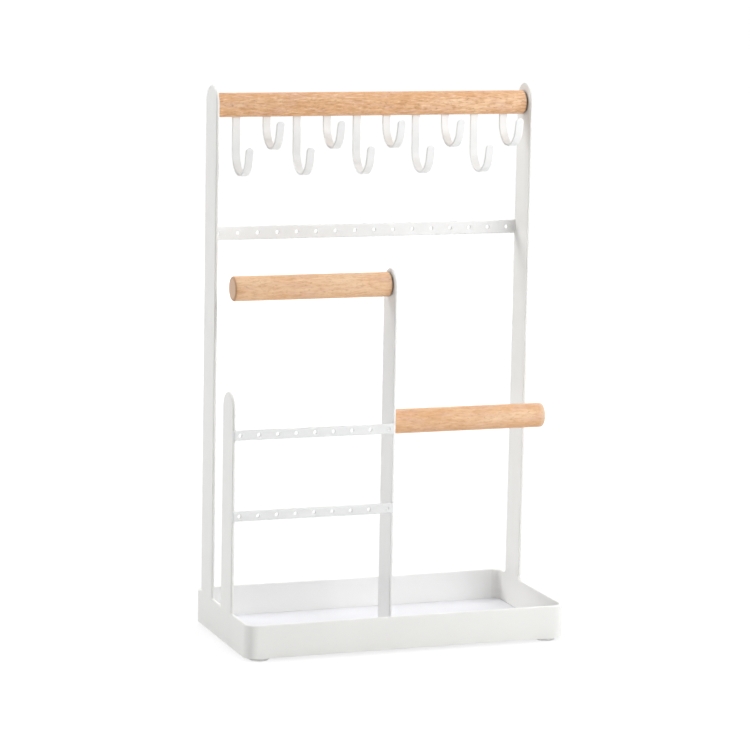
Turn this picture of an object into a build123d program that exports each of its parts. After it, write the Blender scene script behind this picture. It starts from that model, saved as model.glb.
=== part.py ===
from build123d import *
from math import cos, radians, sin
import os

# Jewelry stand: a white steel tray on four pads, sheet-steel uprights, beech dowels, perforated
# earring strips and a row of J hooks under the top dowel.
# Millimetres, +Z up. The origin is the centre of the footprint, on the surface the pads rest on.
# +X is to the right, -Y is the open front, and heights are measured from that surface.

# Tray
tray_width = 197.0
tray_depth = 102.0
wall_height = 19.5
sheet = 2.0
floor_sheet = 1.2
corner_radius = 7.0
edge_round = 0.9

# Pads under the tray
pad_height = 2.0
pad_diameter = 11.5
pad_inset_x = 9.8
pad_inset_y = 7.5
pad_round = 0.5

# Uprights. Insets run from the tray's rear or front face to the upright's nearer edge.
tall_height = 323.0
tall_width = 21.0
tall_rear_inset = 11.7
low_width = 19.6
low_front_inset = 31.2
middle_height = 219.2
short_height = 150.0
left_foot_fillet = 1.0
right_foot_fillet = 2.5
tab_width = 10.0
tab_clearance = 0.1

# Dowels. A drop runs from the top of an upright down to the dowel's axis.
top_dowel_diameter = 14.0
arm_dowel_diameter = 14.4
dowel_chamfer = 0.8
dowel_free_round = 1.2
top_dowel_drop = 11.7
left_dowel_drop = 9.6
left_dowel_length = 95.7
right_dowel_height = 128.4
right_dowel_length = 95.7

# Studs welded to the uprights, each inside the end of a dowel
stud_diameter = 4.0
short_stud = 8.0
long_stud = 22.0
stud_clearance = 0.05
stud_end_gap = 0.5
stud_chamfer = 0.5

# Earring strips. An end margin runs from a strip's end to the centre of its first hole.
top_strip_height = 235.6
top_strip_width = 8.2
top_strip_holes = 16
top_strip_end_margin = 5.75
low_strip_heights = (126.3, 79.1)
low_strip_width = 6.0
low_strip_holes = 9
low_strip_end_margin = 4.05
low_strip_lap = 1.0
strip_sheet = 2.0
strip_hole = 2.4

# Hooks. The end margin runs from the dowel's end to the middle of the first hook.
hook_count = 10
hook_end_margin = 13.25
hook_width = 5.0
hook_sheet = 1.5
hook_bend_radius = 12.6
hook_bend_angle = 168.0
hook_tip_length = 7.0
hook_tip_round = 2.3
hook_edge_round = 0.6
long_hook_drop = 33.1
short_hook_drop = 18.0
tang_depth = 5.0
tang_clearance = 0.05

# Cuts start this far outside the surface that they go through
cut_overrun = 1.0

# Places worked out from the sizes above
left_face = -tray_width / 2
right_face = tray_width / 2
front_face = -tray_depth / 2
rear_face = tray_depth / 2
wall_top = pad_height + wall_height
floor_top = pad_height + floor_sheet
bend_x = tray_width / 2 - corner_radius
bend_y = tray_depth / 2 - corner_radius
tall_rear = rear_face - tall_rear_inset
tall_front = tall_rear - tall_width
tall_y = (tall_rear + tall_front) / 2
low_front = front_face + low_front_inset
low_rear = low_front + low_width
low_y = (low_front + low_rear) / 2
middle_face = sheet / 2
top_dowel_radius = top_dowel_diameter / 2
arm_dowel_radius = arm_dowel_diameter / 2
top_dowel_height = tall_height - top_dowel_drop
left_dowel_height = middle_height - left_dowel_drop
frame_gap = tray_width - 2 * sheet
dowel_underside = top_dowel_height - top_dowel_radius


def block(x_low, x_high, y_low, y_high, z_low, z_high):
    """A box between two limits along each axis."""
    size = Box(x_high - x_low, y_high - y_low, z_high - z_low)
    return Pos((x_low + x_high) / 2, (y_low + y_high) / 2, (z_low + z_high) / 2) * size


def rod(start, direction, radius, length):
    """A cylinder from a point along X, to the right for +1 and to the left for -1."""
    place = Plane(origin=start, z_dir=(direction, 0, 0))
    return place * Cylinder(radius, length, align=(Align.CENTER, Align.CENTER, Align.MIN))


def rounding(wall):
    """The rounding on the edges of a sheet, limited by the sheet itself."""
    return min(edge_round, 0.45 * wall)


def upright_outline(y_middle, width, base, height):
    """The face of one upright in the YZ plane: a strip with a full-round top."""
    round_centre = height - width / 2
    strip = Pos(y_middle, (base + round_centre) / 2) * Rectangle(width, round_centre - base)
    return strip + Pos(y_middle, round_centre) * Circle(width / 2)


def corner_bend(side, end):
    """One rounded vertical corner of the tray wall, side -1 or 1 in X and end -1 or 1 in Y."""
    ring = Circle(corner_radius) - Circle(corner_radius - sheet)
    quarter = ring & Pos(side * corner_radius / 2, end * corner_radius / 2) * Rectangle(
        corner_radius, corner_radius
    )
    return extrude(Pos(side * bend_x, end * bend_y, pad_height) * quarter, wall_height)


def side_frame(side, outlines, foot_fillet):
    """An end wall with its uprights and both rounded corners, cut and bent from one sheet."""
    wall_middle = pad_height + wall_height / 2
    face = Pos(0, wall_middle) * Rectangle(2 * bend_y, wall_height)
    for outline in outlines:
        face += outline
    roots = [v for v in face.vertices() if abs(v.Y - wall_top) < 0.01 and abs(v.X) < bend_y - 0.01]
    face = fillet(roots, foot_fillet)
    inner_x = side * (tray_width / 2 - sheet)
    plate = extrude(Plane.YZ.offset(inner_x) * face, side * sheet)
    frame = plate + corner_bend(side, -1) + corner_bend(side, 1)
    seam_x = side * bend_x
    rim = [
        e
        for e in frame.edges()
        if e.bounding_box().min.Z > wall_top - 0.01
        and abs(e.center().X - seam_x) > 0.01
        and e.bounding_box().size.Y + e.bounding_box().size.Z > 0.01
    ]
    return fillet(rim, rounding(sheet))


def left_side_frame():
    base = wall_top - left_foot_fillet
    tall = upright_outline(tall_y, tall_width, base, tall_height)
    short = upright_outline(low_y, low_width, base, short_height)
    return side_frame(-1, [tall, short], left_foot_fillet)


def right_side_frame():
    tall = upright_outline(tall_y, tall_width, wall_top - right_foot_fillet, tall_height)
    return side_frame(1, [tall], right_foot_fillet)


def long_wall(end):
    """The straight front (-1) or rear (1) wall between the rounded corners."""
    outer = end * tray_depth / 2
    inner = outer - end * sheet
    wall = block(-bend_x, bend_x, min(outer, inner), max(outer, inner), pad_height, wall_top)
    rim = wall.edges().filter_by(Axis.X).group_by(Axis.Z)[-1]
    return fillet(rim, rounding(sheet))


def tray_floor():
    """The floor plate inside the walls, with a slot for the middle upright's tab."""
    inside = RectangleRounded(frame_gap, tray_depth - 2 * sheet, corner_radius - sheet)
    slot = Pos(0, low_y) * Rectangle(sheet + 2 * tab_clearance, tab_width + 2 * tab_clearance)
    return extrude(Pos(0, 0, pad_height) * (inside - slot), floor_sheet)


def middle_upright():
    """The upright that stands on the floor plate, its tab down through the slot."""
    face = upright_outline(low_y, low_width, floor_top, middle_height)
    plate = extrude(Plane.YZ.offset(-sheet / 2) * face, sheet)
    outline = [
        e
        for e in plate.edges()
        if e.bounding_box().max.Z > floor_top + 0.01 and e.bounding_box().size.X < 0.01
    ]
    plate = fillet(outline, rounding(sheet))
    tab = block(-sheet / 2, sheet / 2, low_y - tab_width / 2, low_y + tab_width / 2, pad_height, floor_top)
    return plate + tab


def top_dowel():
    """The long dowel between the tall uprights, bored for studs and slotted for the hooks."""
    left_end = left_face + sheet
    wood = rod((left_end, tall_y, top_dowel_height), 1, top_dowel_radius, frame_gap)
    wood = chamfer(wood.edges().filter_by(GeomType.CIRCLE), dowel_chamfer)
    for side in (-1, 1):
        end = (side * frame_gap / 2, tall_y, top_dowel_height)
        bore = rod(end, -side, stud_diameter / 2 + stud_clearance, short_stud + stud_end_gap)
        wood -= bore
    for x in hook_places():
        wood -= tang_slot(x)
    return wood


def tang_slot(x):
    """The slot in the dowel's underside for one hook's upper end."""
    half_width = hook_width / 2 + tang_clearance
    half_sheet = hook_sheet / 2 + tang_clearance
    low = dowel_underside - cut_overrun
    high = dowel_underside + tang_depth
    return block(x - half_width, x + half_width, tall_y - half_sheet, tall_y + half_sheet, low, high)


def arm_dowel(direction, height, length):
    """A dowel that stands out from the middle upright, bored for its stud."""
    start = (direction * middle_face, low_y, height)
    wood = rod(start, direction, arm_dowel_radius, length)
    ends = wood.edges().filter_by(GeomType.CIRCLE).sort_by(Axis.X)
    fixed_edge, free_edge = (ends[0], ends[-1]) if direction > 0 else (ends[-1], ends[0])
    wood = fillet(free_edge, dowel_free_round)
    fixed_x = fixed_edge.center().X
    fixed_edge = [e for e in wood.edges().filter_by(GeomType.CIRCLE) if abs(e.center().X - fixed_x) < 0.01]
    wood = chamfer(fixed_edge, dowel_chamfer)
    return wood - rod(start, direction, stud_diameter / 2 + stud_clearance, long_stud + stud_end_gap)


def stud(start, direction, length):
    """A plain steel stud with its base on an upright's face."""
    pin = rod(start, direction, stud_diameter / 2, length)
    far = pin.edges().filter_by(GeomType.CIRCLE).sort_by(Axis.X)[-1 if direction > 0 else 0]
    return chamfer(far, stud_chamfer)


def strip(x_low, x_high, y_low, height, width, holes, end_margin, lapped):
    """A flat strip along X with evenly spaced holes; a lapped one has its front corners rounded too."""
    bar = block(x_low, x_high, y_low, y_low + strip_sheet, height - width / 2, height + width / 2)
    front_corners = bar.edges().filter_by(Axis.Z).group_by(Axis.Y)[0]
    bar = fillet(bar.edges().filter_by(Axis.X) + (front_corners if lapped else []), rounding(strip_sheet))
    pitch = (x_high - x_low - 2 * end_margin) / (holes - 1)
    drill = Rot(90, 0, 0) * Cylinder(strip_hole / 2, strip_sheet + 2 * cut_overrun)
    for number in range(holes):
        x = x_low + end_margin + number * pitch
        bar -= Pos(x, y_low + strip_sheet / 2, height) * drill
    return bar


def top_strip():
    """The strip between the tall uprights, flush with their rear edges."""
    half = frame_gap / 2
    front = tall_rear - strip_sheet
    holes, margin = top_strip_holes, top_strip_end_margin
    return strip(-half, half, front, top_strip_height, top_strip_width, holes, margin, lapped=False)


def low_strip(height):
    """A strip lapped on the front edges of the short and the middle upright."""
    right_end = -middle_face + low_strip_lap
    front = low_front - strip_sheet
    holes, margin = low_strip_holes, low_strip_end_margin
    return strip(left_face, right_end, front, height, low_strip_width, holes, margin, lapped=True)


def hook_places():
    """The X place of each hook, evenly spaced between the margins at the dowel's ends."""
    first = -frame_gap / 2 + hook_end_margin
    pitch = (frame_gap - 2 * hook_end_margin) / (hook_count - 1)
    return [first + number * pitch for number in range(hook_count)]


def hook(x, drop):
    """A flat J hook: tang in the dowel, stem, bend towards the front and a short leaning tip."""
    bend_z = dowel_underside - drop + hook_bend_radius + hook_sheet / 2
    bend_middle = Vector(x, tall_y - hook_bend_radius, bend_z)
    turn = radians(hook_bend_angle)
    top = Vector(x, tall_y, dowel_underside + tang_depth)
    bend_start = Vector(x, tall_y, bend_z)
    half_turn = Vector(0, cos(turn / 2), -sin(turn / 2)) * hook_bend_radius
    full_turn = Vector(0, cos(turn), -sin(turn)) * hook_bend_radius
    tip_start = bend_middle + full_turn
    tip_end = tip_start + Vector(0, -sin(turn), -cos(turn)) * hook_tip_length
    path = Wire([
        Edge.make_line(top, bend_start),
        Edge.make_three_point_arc(bend_start, bend_middle + half_turn, tip_start),
        Edge.make_line(tip_start, tip_end),
    ])
    section = Plane(origin=top, x_dir=(1, 0, 0), z_dir=(0, 0, -1)) * Rectangle(hook_width, hook_sheet)
    strap = sweep(section, path=path)
    tip_corners = [
        e
        for e in strap.edges()
        if (e.center() - tip_end).length < hook_width / 2 + 0.01 and abs(e.length - hook_sheet) < 0.01
    ]
    strap = fillet(tip_corners, hook_tip_round)
    bare_top = dowel_underside + tang_depth - 0.01
    return fillet([e for e in strap.edges() if e.center().Z < bare_top], hook_edge_round)


def pads():
    """The four round pads under the corners of the floor plate, by name."""
    pad = Cylinder(pad_diameter / 2, pad_height, align=(Align.CENTER, Align.CENTER, Align.MIN))
    pad = fillet(pad.edges().group_by(Axis.Z)[0], pad_round)
    x = tray_width / 2 - pad_inset_x
    y = tray_depth / 2 - pad_inset_y
    places = {"front_left": (-x, -y), "front_right": (x, -y), "rear_left": (-x, y), "rear_right": (x, y)}
    return {f"{name}_pad": Pos(*place, 0) * pad for name, place in places.items()}


def hooks():
    """Long and short hooks in turn, numbered from the left."""
    named = {}
    for number, x in enumerate(hook_places()):
        is_long = number % 2 == 0
        name = "long_hook" if is_long else "short_hook"
        named[f"{name}_{number // 2 + 1}"] = hook(x, long_hook_drop if is_long else short_hook_drop)
    return named


def studs():
    """The studs that carry the dowels, by name."""
    half = frame_gap / 2
    return {
        "top_dowel_left_stud": stud((-half, tall_y, top_dowel_height), 1, short_stud),
        "top_dowel_right_stud": stud((half, tall_y, top_dowel_height), -1, short_stud),
        "left_dowel_stud": stud((-middle_face, low_y, left_dowel_height), -1, long_stud),
        "right_dowel_stud": stud((middle_face, low_y, right_dowel_height), 1, long_stud),
    }


nodes = {
    "tray_floor": tray_floor(),
    "front_wall": long_wall(-1),
    "rear_wall": long_wall(1),
    "left_side_frame": left_side_frame(),
    "right_side_frame": right_side_frame(),
    "middle_upright": middle_upright(),
    "top_dowel": top_dowel(),
    "left_dowel": arm_dowel(-1, left_dowel_height, left_dowel_length),
    "right_dowel": arm_dowel(1, right_dowel_height, right_dowel_length),
    "top_earring_strip": top_strip(),
    "middle_earring_strip": low_strip(low_strip_heights[0]),
    "bottom_earring_strip": low_strip(low_strip_heights[1]),
    **studs(),
    **hooks(),
    **pads(),
}

os.makedirs("parts", exist_ok=True)
for name, shape in nodes.items():
    solids = shape.solids()
    print(f"{name}: {len(solids)} solid, {shape.volume:.1f} mm3, valid {shape.is_valid}")
    export_step(shape, f"parts/{name}.step")
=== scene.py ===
from collections import namedtuple
from math import cos, radians, sin

import bmesh
import bpy
from mathutils import Matrix, Vector


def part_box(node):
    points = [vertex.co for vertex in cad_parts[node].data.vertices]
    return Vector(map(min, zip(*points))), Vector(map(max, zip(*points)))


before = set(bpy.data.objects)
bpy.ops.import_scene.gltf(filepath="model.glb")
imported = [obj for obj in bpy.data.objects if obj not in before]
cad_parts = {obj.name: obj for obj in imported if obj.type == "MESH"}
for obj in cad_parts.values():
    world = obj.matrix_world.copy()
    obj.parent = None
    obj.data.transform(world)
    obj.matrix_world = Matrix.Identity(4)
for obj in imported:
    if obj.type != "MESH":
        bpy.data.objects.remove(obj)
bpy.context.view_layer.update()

# Jewelry stand: satin white powder coat on sheet steel, and beech dowels.
# Metres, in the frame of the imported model: +Z up, -Y to the open front.

scene = bpy.context.scene
scene.view_settings.view_transform = "Standard"

# Camera: its place round the stand, and how the frame is turned
camera_azimuth = -20.05
camera_elevation = 9.43
camera_roll = 1.10
camera_distance = 1.890
camera_side_offset = -0.0050
camera_aim_height = 0.1543
camera_lens = 154.65
camera_sensor = 36.0
camera_reach = 100

# Lamps: azimuth and elevation in degrees, distance and width in metres, power in watts, colour
lamp_aim_height = 0.15
plain_light = (0.990, 1.000, 1.005)
cool_light = (0.972, 0.990, 1.022)
lamps = {
    "front_left_lamp": (-30, 35, 1.6, 0.8, 1.8, plain_light),
    "front_right_lamp": (30, 35, 0.9, 0.5, 4.0, plain_light),
    "right_lamp": (60, 8, 0.9, 0.5, 2.3, plain_light),
    "left_lamp": (-120, 35, 1.6, 0.8, 13.0, plain_light),
    "rear_right_lamp": (150, 8, 1.6, 0.8, 5.8, plain_light),
    "rear_top_lamp": (150, 80, 1.6, 0.8, 11.0, cool_light),
}
pure_white = (1, 1, 1, 1)
ambient_light = 0.06
ambient_colour = (1.07, 1.03, 0.90, 1)

# Floor: how bright it looks near the stand and far off, and what it gives back as light
floor_width = 40.0
floor_white_near = 0.80
floor_white_far = 1.02
floor_fade_start = 0.25
floor_fade_end = 0.90
floor_shadow = (0.25, 0.25, 0.25, 1)
floor_bounce = (0.90, 0.90, 0.90, 1)

# Every noise pattern is given as units per metre, octaves of detail and, where it isn't 0.5, its
# roughness. A stretched one has its units along X, Y and Z. A span holds the two values of a pattern
# between which it takes effect.
tone_span = (0.35, 0.65)
gloss_span = (0.30, 0.70)

# Powder coats: the two tones that each one drifts between, its lowest and highest roughness, the
# patterns of its skin, and the painted shade in the seam at the tray floor's right end. The inner,
# strip and tray coats are painted light: lighter or cooler copies of the white coat for pieces that
# the light falls on differently.
coat_white = (0.905, 0.899, 0.876, 1)
coat_shade = (0.890, 0.884, 0.862, 1)
# Painted light: a lighter copy of the white coat for the rear wall and the middle upright
painted_light_inner_white = (0.945, 0.943, 0.934, 1)
painted_light_inner_shade = (0.930, 0.928, 0.919, 1)
# Painted light: a cooler, more neutral copy of the white coat for the strips and hooks
painted_light_strip_white = (0.902, 0.904, 0.900, 1)
painted_light_strip_shade = (0.887, 0.889, 0.885, 1)
# Painted light: a cooler copy of the white coat for the tray floor, lighter at its left end, and the
# painted shade it darkens to towards its right end
painted_light_tray_white = (0.878, 0.880, 0.912, 1)
painted_light_tray_shade = (0.862, 0.864, 0.896, 1)
tray_right_painted_shade = (0.797, 0.799, 0.830, 1)
satin_gloss = (0.40, 0.50)
tray_gloss = (0.36, 0.44)
coat_tone_pattern = (18, 3)
coat_gloss_pattern = (90, 3)
coat_skin_scale = 1400
coat_skin_pattern = (coat_skin_scale, 3, 0.6)
coat_swell_pattern = (coat_skin_scale / 6, 2)
coat_skin_share = 0.4
coat_relief = 0.25
coat_relief_depth = 0.00004
# Painted shade in the seam where the tray floor meets the right end wall
tray_seam_shade_width = 0.0006
seam_shade_grey = (0.300, 0.295, 0.290, 1)
seam_shade_darkness = 0.6

# Beech: its tones, the painted shade at its end rims and joints, and the patterns and spans of its
# grain
beech_light = (0.980, 0.735, 0.490, 1)
beech_pale = (0.930, 0.650, 0.430, 1)
beech_warm = (0.825, 0.485, 0.262, 1)
beech_rosy = (0.800, 0.495, 0.365, 1)
beech_streak = (0.660, 0.335, 0.160, 1)
beech_fleck = (0.450, 0.225, 0.115, 1)
beech_end = (0.670, 0.455, 0.335, 1)
# Paler band at a free right end
beech_pale_end = (0.860, 0.700, 0.560, 1)
# Painted shade where a dowel's end meets an upright
beech_joint_shade = (0.110, 0.070, 0.045, 1)
sway_pattern = ((55, 90, 90), 2)
patch_pattern = ((26, 150, 150), 2)
rosy_pattern = ((48, 260, 260), 2)
streak_pattern = ((180, 900, 900), 3, 0.6)
fleck_pattern = ((460, 1300, 1300), 2, 0.45)
fibre_pattern = ((90, 2600, 2600), 3, 0.6)
pore_pattern = (2600, 2, 0.6)
ring_pattern = {"Scale": 260, "Distortion": 1.2, "Detail": 2}
patch_span = (0.32, 0.68)
rosy_span = (0.50, 0.66)
pale_streak_span = (0.33, 0.45)
dark_streak_span = (0.49, 0.66)
fleck_span = (0.60, 0.70)
end_span = (0.30, 0.70)
sway_reach = 0.0035
heart_offset_y = 0.004
heart_offset_z = -0.012
beech_gloss = (0.50, 0.60)
beech_specular = 0.15
fleck_relief = -0.5
beech_relief = 0.35
beech_relief_depth = 0.00008

# How strongly each part of the grain and of the painted shade shows, from 0 to 1, but for three: the
# patches' two values are added to the warmth, and the painted shade on the upper side starts at its
# share of the way from the axis to the top. The shares of pale streaks, flecks and the painted shade
# near the left ends are multiplied by the dowel's own strength.
patch_coolest = -0.35
patch_warmest = 0.65
# Painted shade: how warm and deep the underside is
underside_painted_shade = 0.5
upper_shade_begins = 0.4
rosy_strength = 0.55
pale_streak_share = 0.7
fibre_strength = 0.08
fleck_strength = 0.15
fleck_share = 0.4
# Painted shade near the left ends
end_shade_share = 0.25
# Paler band at a free right end
pale_end_strength = 0.45
ring_share = 0.35
end_paleness = 0.5

# How far a dowel's surface faces to the right, from -1 to 1, where its left look becomes its right
# one, and how far it faces either way, from 0 to 1, at its rims and on its end faces
left_to_right_facing = (-0.2, 0.2)
rim_facing = (0.25, 0.60)
end_facing = (0.75, 0.95)

# Each dowel's wood: how warm its left and right ends are, how much painted shade darkens its upper
# side and its underside, how strong its streaks are, and how much painted shade darkens the rims of
# its left and right end faces and the side beside a right end that meets an upright. A free end that
# isn't dark at all gets a paler band.
Wood = namedtuple("Wood", "warm_left warm_right upper_tone under_tone streaks left_edge right_edge")
dowel_woods = {
    "top_dowel": Wood(1.00, 0.50, 0.50, 0.10, 0.82, 0.60, 0.75),
    "left_dowel": Wood(0.30, 0.10, 0.08, 0.00, 0.45, 0.55, 0.60),
    "right_dowel": Wood(0.60, 0.30, 0.12, 0.40, 0.45, 0.60, 0.00),
}
# Widths of the painted shade at the end rims, of the painted shade near the left end, of the paler band
# at a free right end and of the painted shade beside a dark right end
rim_shade_width = 0.0008
rim_shade_fade = 0.0012
end_shade_reach = 0.0045
pale_end_band = 0.0035
joint_shade_width = 0.0018

# Pads and studs
rubber_white = (0.860, 0.860, 0.845, 1)
rubber_gloss = (0.55, 0.70)
rubber_transmission = 0.6
rubber_ior = 1.4
rubber_tone_pattern = (300, 2)
rubber_gloss_pattern = (900, 2)
rubber_skin_pattern = (2500, 2)
rubber_relief = 0.3
rubber_relief_depth = 0.00005
steel_grey = (0.560, 0.560, 0.550, 1)
steel_gloss = (0.30, 0.45)
steel_line_pattern = ((60, 4000, 4000), 3)


def view_direction(azimuth, elevation):
    """Unit vector from the stand towards a viewer; azimuth 0 is straight in front."""
    a, e = radians(azimuth), radians(elevation)
    return Vector((sin(a) * cos(e), -cos(a) * cos(e), sin(e)))


def level_right_of(back):
    """Level unit vector to the right of a viewer who looks against the given direction."""
    return Vector((0, 0, 1)).cross(back).normalized()


def turned_towards(back, roll=0.0):
    """Matrix whose +Z is the given direction, with its X level before the roll."""
    right = level_right_of(back)
    up = back.cross(right)
    r = radians(roll)
    turned_right = cos(r) * right + sin(r) * up
    turned_up = cos(r) * up - sin(r) * right
    return Matrix((turned_right, turned_up, back)).transposed()


def stand_at(thing, place, back, roll=0.0):
    """Puts a camera or a lamp at a place, looking against the given direction."""
    thing.matrix_world = Matrix.Translation(place) @ turned_towards(back, roll).to_4x4()
    scene.collection.objects.link(thing)


def add_camera():
    back = view_direction(camera_azimuth, camera_elevation)
    aim = Vector((0, 0, camera_aim_height))
    data = bpy.data.cameras.new("camera")
    data.lens = camera_lens
    data.sensor_width = camera_sensor
    data.clip_end = camera_reach
    camera = bpy.data.objects.new("camera", data)
    place = back * camera_distance + level_right_of(back) * camera_side_offset + aim
    stand_at(camera, place, back, camera_roll)
    scene.camera = camera


def add_lamp(name, azimuth, elevation, distance, width, power, colour):
    back = view_direction(azimuth, elevation)
    data = bpy.data.lights.new(name, "AREA")
    data.shape = "SQUARE"
    data.size = width
    data.energy = power
    data.color = colour
    lamp = bpy.data.objects.new(name, data)
    stand_at(lamp, back * distance + Vector((0, 0, lamp_aim_height)), back)


class NodeTree:
    """A tree of shader nodes under construction."""

    def __init__(self, tree):
        self.nodes = tree.nodes
        self.links = tree.links

    def add(self, kind, settings=None, **inputs):
        """A new node with its properties and its input values or links."""
        node = self.nodes.new(kind)
        for key, value in (settings or {}).items():
            setattr(node, key, value)
        for key, value in inputs.items():
            self.put(node.inputs[key.replace("_", " ")], value)
        return node

    def put(self, socket, value):
        if isinstance(value, bpy.types.NodeSocket):
            self.links.new(value, socket)
        else:
            socket.default_value = value

    def object_place(self):
        return self.add("ShaderNodeTexCoord").outputs["Object"]

    def object_normal(self):
        return self.add("ShaderNodeTexCoord").outputs["Normal"]

    def parts(self, vector):
        return self.add("ShaderNodeSeparateXYZ", Vector=vector).outputs

    def length(self, vector):
        return self.add("ShaderNodeVectorMath", {"operation": "LENGTH"}, Vector=vector).outputs["Value"]

    def stretched(self, place, scale):
        """A place scaled per axis, in pattern units per metre."""
        mapping = self.add("ShaderNodeMapping", Vector=place)
        mapping.inputs["Scale"].default_value = scale
        return mapping.outputs["Vector"]

    def across(self, place, centre_y, centre_z):
        """A place measured from a line along X through the given centre."""
        mapping = self.add("ShaderNodeMapping", Vector=place)
        mapping.inputs["Location"].default_value = (0, -centre_y, -centre_z)
        mapping.inputs["Scale"].default_value = (0, 1, 1)
        return mapping.outputs["Vector"]

    def noise(self, place, scale, detail, roughness=0.5, output="Fac"):
        settings = {"Scale": scale, "Detail": detail, "Roughness": roughness}
        return self.add("ShaderNodeTexNoise", Vector=place, **settings).outputs[output]

    def grain(self, place, scale, detail, roughness=0.5, output="Fac"):
        """A noise pattern with a scale of its own along each axis."""
        return self.noise(self.stretched(place, scale), 1, detail, roughness, output)

    def remap(self, value, low, high, to_low, to_high):
        node = self.add("ShaderNodeMapRange", {"clamp": True}, Value=value)
        ends = {"From Min": low, "From Max": high, "To Min": to_low, "To Max": to_high}
        for key, number in ends.items():
            node.inputs[key].default_value = number
        return node.outputs["Result"]

    def math(self, operation, first, second=0.0):
        node = self.add("ShaderNodeMath", {"operation": operation})
        self.put(node.inputs[0], first)
        self.put(node.inputs[1], second)
        return node.outputs["Value"]

    def blend(self, factor, first, second):
        """The first colour where the factor is 0, and the second where it is 1."""
        node = self.add("ShaderNodeMix", {"data_type": "RGBA"}, Factor=factor)
        self.put(node.inputs[6], first)
        self.put(node.inputs[7], second)
        return node.outputs[2]

    def bump(self, height, strength, distance):
        node = self.add("ShaderNodeBump", Strength=strength, Distance=distance, Height=height)
        return node.outputs["Normal"]

    def seen_or_bounced(self, seen, bounced):
        """One shader for what is seen directly, mirrored or through glass, and one for other light."""
        rays = self.add("ShaderNodeLightPath").outputs
        direct = self.math("MAXIMUM", rays["Is Camera Ray"], rays["Is Glossy Ray"])
        direct = self.math("MAXIMUM", direct, rays["Is Transmission Ray"])
        choice = self.add("ShaderNodeMixShader", Fac=direct)
        self.put(choice.inputs[1], bounced.outputs[0])
        self.put(choice.inputs[2], seen.outputs[0])
        return choice.outputs[0]


class Finish(NodeTree):
    """A material under construction, with its Principled shader."""

    def __init__(self, name):
        self.material = bpy.data.materials.new(name)
        self.material.use_nodes = True
        super().__init__(self.material.node_tree)
        self.shader = self.nodes["Principled BSDF"]

    def set(self, name, value):
        """Sets or links one input of the Principled shader."""
        self.put(self.shader.inputs[name], value)

    def set_gloss(self, pattern, gloss):
        """Lets the roughness follow a pattern, from its lowest to its highest value."""
        self.set("Roughness", self.remap(pattern, *gloss_span, *gloss))


def powder_coat(name, white, shade, gloss):
    """Satin powder coat: a fine orange-peel skin, with faint drift in tone and gloss."""
    f = Finish(name)
    place = f.object_place()
    drift = f.noise(place, *coat_tone_pattern)
    skin = f.noise(place, *coat_skin_pattern)
    swell = f.noise(place, *coat_swell_pattern)
    relief = f.math("ADD", f.math("MULTIPLY", skin, coat_skin_share), swell)
    f.set("Base Color", f.blend(f.remap(drift, *tone_span, 0, 1), shade, white))
    f.set_gloss(f.noise(place, *coat_gloss_pattern), gloss)
    f.set("Normal", f.bump(relief, coat_relief, coat_relief_depth))
    return f


def tray_coat(left_end, right_end):
    """The tray floor's coat: a little glossier, and cooler as painted light, with painted light towards
    the left and painted shade towards the right. Painted shade marks the seam at the right end wall.
    """
    f = powder_coat("white_tray_coat_painted_light", painted_light_tray_white, painted_light_tray_shade, tray_gloss)
    coat = f.shader.inputs["Base Color"].links[0].from_socket
    along = f.parts(f.object_place())["X"]
    # Painted light towards the left end and painted shade towards the right end
    coat = f.blend(f.remap(along, left_end, right_end, 0, 1), coat, tray_right_painted_shade)
    # Painted shade in the seam at the right end wall
    seam_shade = f.remap(along, right_end - tray_seam_shade_width, right_end - tray_seam_shade_width / 2, 0, seam_shade_darkness)
    f.set("Base Color", f.blend(seam_shade, coat, seam_shade_grey))
    return f


def wavy_grain(f, place):
    """The place, swayed a little across the dowel, so that the grain runs in waves."""
    bent = f.add("ShaderNodeVectorMath", {"operation": "MULTIPLY_ADD"})
    f.put(bent.inputs[0], f.grain(place, *sway_pattern, output="Color"))
    f.put(bent.inputs[1], (0, sway_reach, sway_reach))
    f.put(bent.inputs[2], place)
    return bent.outputs["Vector"]


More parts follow.
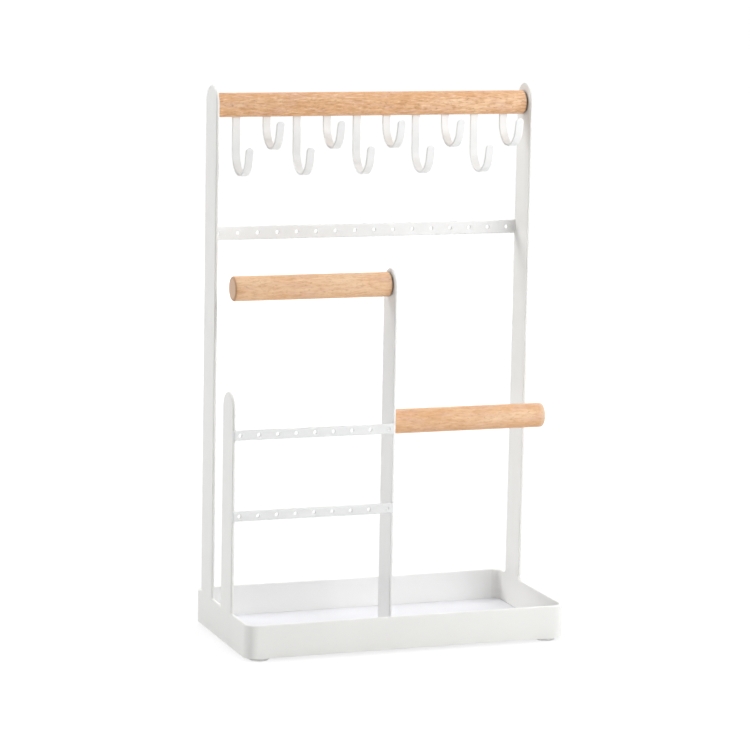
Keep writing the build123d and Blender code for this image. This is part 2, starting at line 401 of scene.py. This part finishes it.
def side_grain(f, place, grain_place, fibre, fleck, low, high, wood):
    """Colour of a dowel's turned side: each layer of the grain and of the painted shade goes over the
    last.
    """
    patch = f.grain(grain_place, *patch_pattern)
    rosy = f.grain(grain_place, *rosy_pattern)
    streak = f.grain(grain_place, *streak_pattern)
    along = f.parts(place)["X"]
    height = f.parts(place)["Z"]
    middle_z = (low.z + high.z) / 2
    upper_start = middle_z + upper_shade_begins * (high.z - middle_z)
    upper_shade = f.remap(height, upper_start, high.z, 0, wood.upper_tone)
    under_shade = f.remap(height, low.z, middle_z, wood.under_tone, 0)
    warmth = f.remap(along, low.x, high.x, wood.warm_left, wood.warm_right)
    warmth = f.math("ADD", warmth, f.remap(patch, *patch_span, patch_coolest, patch_warmest))
    fleck_most = fleck_strength + fleck_share * wood.streaks
    layers = [
        (f.remap(warmth, 0, 1, 0, 1), beech_warm),
        # Painted shade: a warmer, deeper underside
        (f.remap(height, low.z, middle_z, underside_painted_shade, 0), beech_warm),
        # Painted shade darkening the upper side and the underside
        (f.math("ADD", upper_shade, under_shade), beech_streak),
        (f.remap(rosy, *rosy_span, 0, rosy_strength), beech_rosy),
        (f.remap(streak, *pale_streak_span, pale_streak_share * wood.streaks, 0), beech_light),
        (f.remap(streak, *dark_streak_span, 0, wood.streaks), beech_streak),
        (f.remap(fibre, *tone_span, fibre_strength, 0), beech_fleck),
        (f.remap(fleck, *fleck_span, 0, fleck_most), beech_fleck),
        # Painted shade near the left end
        (f.remap(along, low.x, low.x + end_shade_reach, end_shade_share * wood.left_edge, 0), beech_fleck),
    ]
    # A free right end gets a paler band
    if wood.right_edge == 0:
        pale_end_start = high.x - pale_end_band
        pale_end = f.remap(along, pale_end_start, pale_end_start + pale_end_band / 2, 0, pale_end_strength)
        layers.append((pale_end, beech_pale_end))
    colour = beech_pale
    for amount, tone in layers:
        colour = f.blend(amount, colour, tone)
    return colour


def end_grain(f, place, middle):
    """Colour of a dowel's cut ends: pores, and rings about a heart outside the dowel."""
    heart = f.across(place, middle.y + heart_offset_y, middle.z + heart_offset_z)
    shape = {"wave_type": "RINGS", "rings_direction": "X"}
    rings = f.add("ShaderNodeTexWave", shape, Vector=heart, **ring_pattern)
    pores = f.noise(place, *pore_pattern)
    ring_tone = f.math("MULTIPLY", rings.outputs["Fac"], ring_share)
    tone = f.math("ADD", ring_tone, f.math("MULTIPLY", pores, 1 - ring_share))
    return f.blend(f.remap(tone, *end_span, 0, end_paleness), beech_end, beech_pale)


def dark_edges(f, colour, place, facing, endwise, low, high, wood):
    """Paints shade: darkens the rims of both end faces, and the side beside a right end that is dark,
    where it meets an upright.
    """
    middle = (low + high) / 2
    # Painted shade at the rims of the end faces
    rim_start = (high.z - low.z) / 2 - rim_shade_width
    radius = f.length(f.across(place, middle.y, middle.z))
    rim = f.remap(radius, rim_start - rim_shade_fade, rim_start, 0, 1)
    at_edge = f.math("MULTIPLY", f.remap(endwise, *rim_facing, 0, 1), rim)
    darkness = f.remap(facing, *left_to_right_facing, wood.left_edge, wood.right_edge)
    tone = f.blend(f.remap(facing, *left_to_right_facing, 0, 1), beech_fleck, beech_joint_shade)
    colour = f.blend(f.math("MULTIPLY", at_edge, darkness), colour, tone)
    # Painted shade on the side beside a dark right end, where it meets an upright
    if wood.right_edge > 0:
        joint_shade_start = high.x - joint_shade_width
        joint_shade_end = high.x - joint_shade_width / 3
        joint_shade = f.remap(f.parts(place)["X"], joint_shade_start, joint_shade_end, 0, wood.right_edge)
        colour = f.blend(joint_shade, colour, beech_joint_shade)
    return colour


def beech(name, low, high, wood):
    """Turned beech: wavy streaks, rosy patches and short dark flecks, with end grain on the ends, and
    painted shade on the upper side, the underside, the end rims and the joints.
    """
    f = Finish(name)
    place = f.object_place()
    grain_place = wavy_grain(f, place)
    fleck = f.grain(grain_place, *fleck_pattern)
    fibre = f.grain(place, *fibre_pattern)
    facing = f.parts(f.object_normal())["X"]
    endwise = f.math("ABSOLUTE", facing)
    side = side_grain(f, place, grain_place, fibre, fleck, low, high, wood)
    end = end_grain(f, place, (low + high) / 2)
    colour = f.blend(f.remap(endwise, *end_facing, 0, 1), side, end)
    colour = dark_edges(f, colour, place, facing, endwise, low, high, wood)
    relief = f.math("ADD", fibre, f.math("MULTIPLY", fleck, fleck_relief))
    f.set("Base Color", colour)
    f.set_gloss(fibre, beech_gloss)
    f.set("Specular IOR Level", beech_specular)
    f.set("Normal", f.bump(relief, beech_relief, beech_relief_depth))
    return f


def pad_rubber():
    """Soft matt rubber, milky enough to let light through."""
    f = Finish("white_pad_rubber")
    place = f.object_place()
    skin = f.noise(place, *rubber_skin_pattern)
    f.set("Base Color", f.blend(f.noise(place, *rubber_tone_pattern), rubber_white, coat_white))
    f.set("Transmission Weight", rubber_transmission)
    f.set("IOR", rubber_ior)
    f.set_gloss(f.noise(place, *rubber_gloss_pattern), rubber_gloss)
    f.set("Normal", f.bump(skin, rubber_relief, rubber_relief_depth))
    return f


def stud_steel():
    """Plain drawn steel with fine lengthwise lines."""
    f = Finish("stud_steel")
    lines = f.grain(f.object_place(), *steel_line_pattern)
    f.set("Base Color", f.blend(lines, steel_grey, coat_shade))
    f.set("Metallic", 1.0)
    f.set_gloss(lines, steel_gloss)
    return f


def dress(node, finish):
    """Puts one finish on every slot of a CAD node."""
    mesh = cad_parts[node].data
    mesh.materials.clear()
    mesh.materials.append(finish.material)


def dress_all():
    white = powder_coat("white_powder_coat", coat_white, coat_shade, satin_gloss)
    # Painted light: the inner, strip and tray coats are lighter or cooler copies of the white coat
    painted_light_inner_coat = powder_coat("white_inner_coat_painted_light", painted_light_inner_white, painted_light_inner_shade, satin_gloss)
    painted_light_strip_coat = powder_coat("white_strip_coat_painted_light", painted_light_strip_white, painted_light_strip_shade, satin_gloss)
    tray_low, tray_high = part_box("tray_floor")
    tray = tray_coat(tray_low.x, tray_high.x)
    rubber = pad_rubber()
    steel = stud_steel()
    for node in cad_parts:
        if node in dowel_woods:
            low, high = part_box(node)
            dress(node, beech(f"beech_{node}", low, high, dowel_woods[node]))
        elif node == "tray_floor":
            dress(node, tray)
        elif node in ("rear_wall", "middle_upright"):
            dress(node, painted_light_inner_coat)
        elif "_hook_" in node or node.endswith("_strip"):
            dress(node, painted_light_strip_coat)
        elif node.endswith("_pad"):
            dress(node, rubber)
        elif node.endswith("_stud"):
            dress(node, steel)
        else:
            dress(node, white)


def add_floor():
    """A wide pale floor that reads white away from the stand and keeps its shadow near it."""
    shape = bmesh.new()
    bmesh.ops.create_grid(shape, x_segments=1, y_segments=1, size=floor_width / 2)
    mesh = bpy.data.meshes.new("floor")
    shape.to_mesh(mesh)
    shape.free()
    floor = bpy.data.objects.new("floor", mesh)
    scene.collection.objects.link(floor)
    f = Finish("pale_floor")
    distance = f.length(f.object_place())
    ends = (floor_fade_start, floor_fade_end, floor_white_near, floor_white_far)
    glow = f.add("ShaderNodeEmission", Color=pure_white, Strength=f.remap(distance, *ends))
    shade = f.add("ShaderNodeBsdfDiffuse", Color=floor_shadow)
    seen = f.add("ShaderNodeAddShader")
    f.put(seen.inputs[0], glow.outputs[0])
    f.put(seen.inputs[1], shade.outputs[0])
    bounced = f.add("ShaderNodeBsdfDiffuse", Color=floor_bounce)
    f.put(f.nodes["Material Output"].inputs["Surface"], f.seen_or_bounced(seen, bounced))
    mesh.materials.append(f.material)


def set_world():
    """Soft ambient light, with a white surround for what is seen, mirrored or through glass."""
    world = bpy.data.worlds.new("surround")
    world.use_nodes = True
    scene.world = world
    tree = NodeTree(world.node_tree)
    white = tree.nodes["Background"]
    tree.put(white.inputs["Color"], pure_white)
    ambient = tree.add("ShaderNodeBackground", Color=ambient_colour, Strength=ambient_light)
    tree.put(tree.nodes["World Output"].inputs["Surface"], tree.seen_or_bounced(white, ambient))


add_camera()
for lamp_name, lamp_setting in lamps.items():
    add_lamp(lamp_name, *lamp_setting)
set_world()
add_floor()
dress_all()
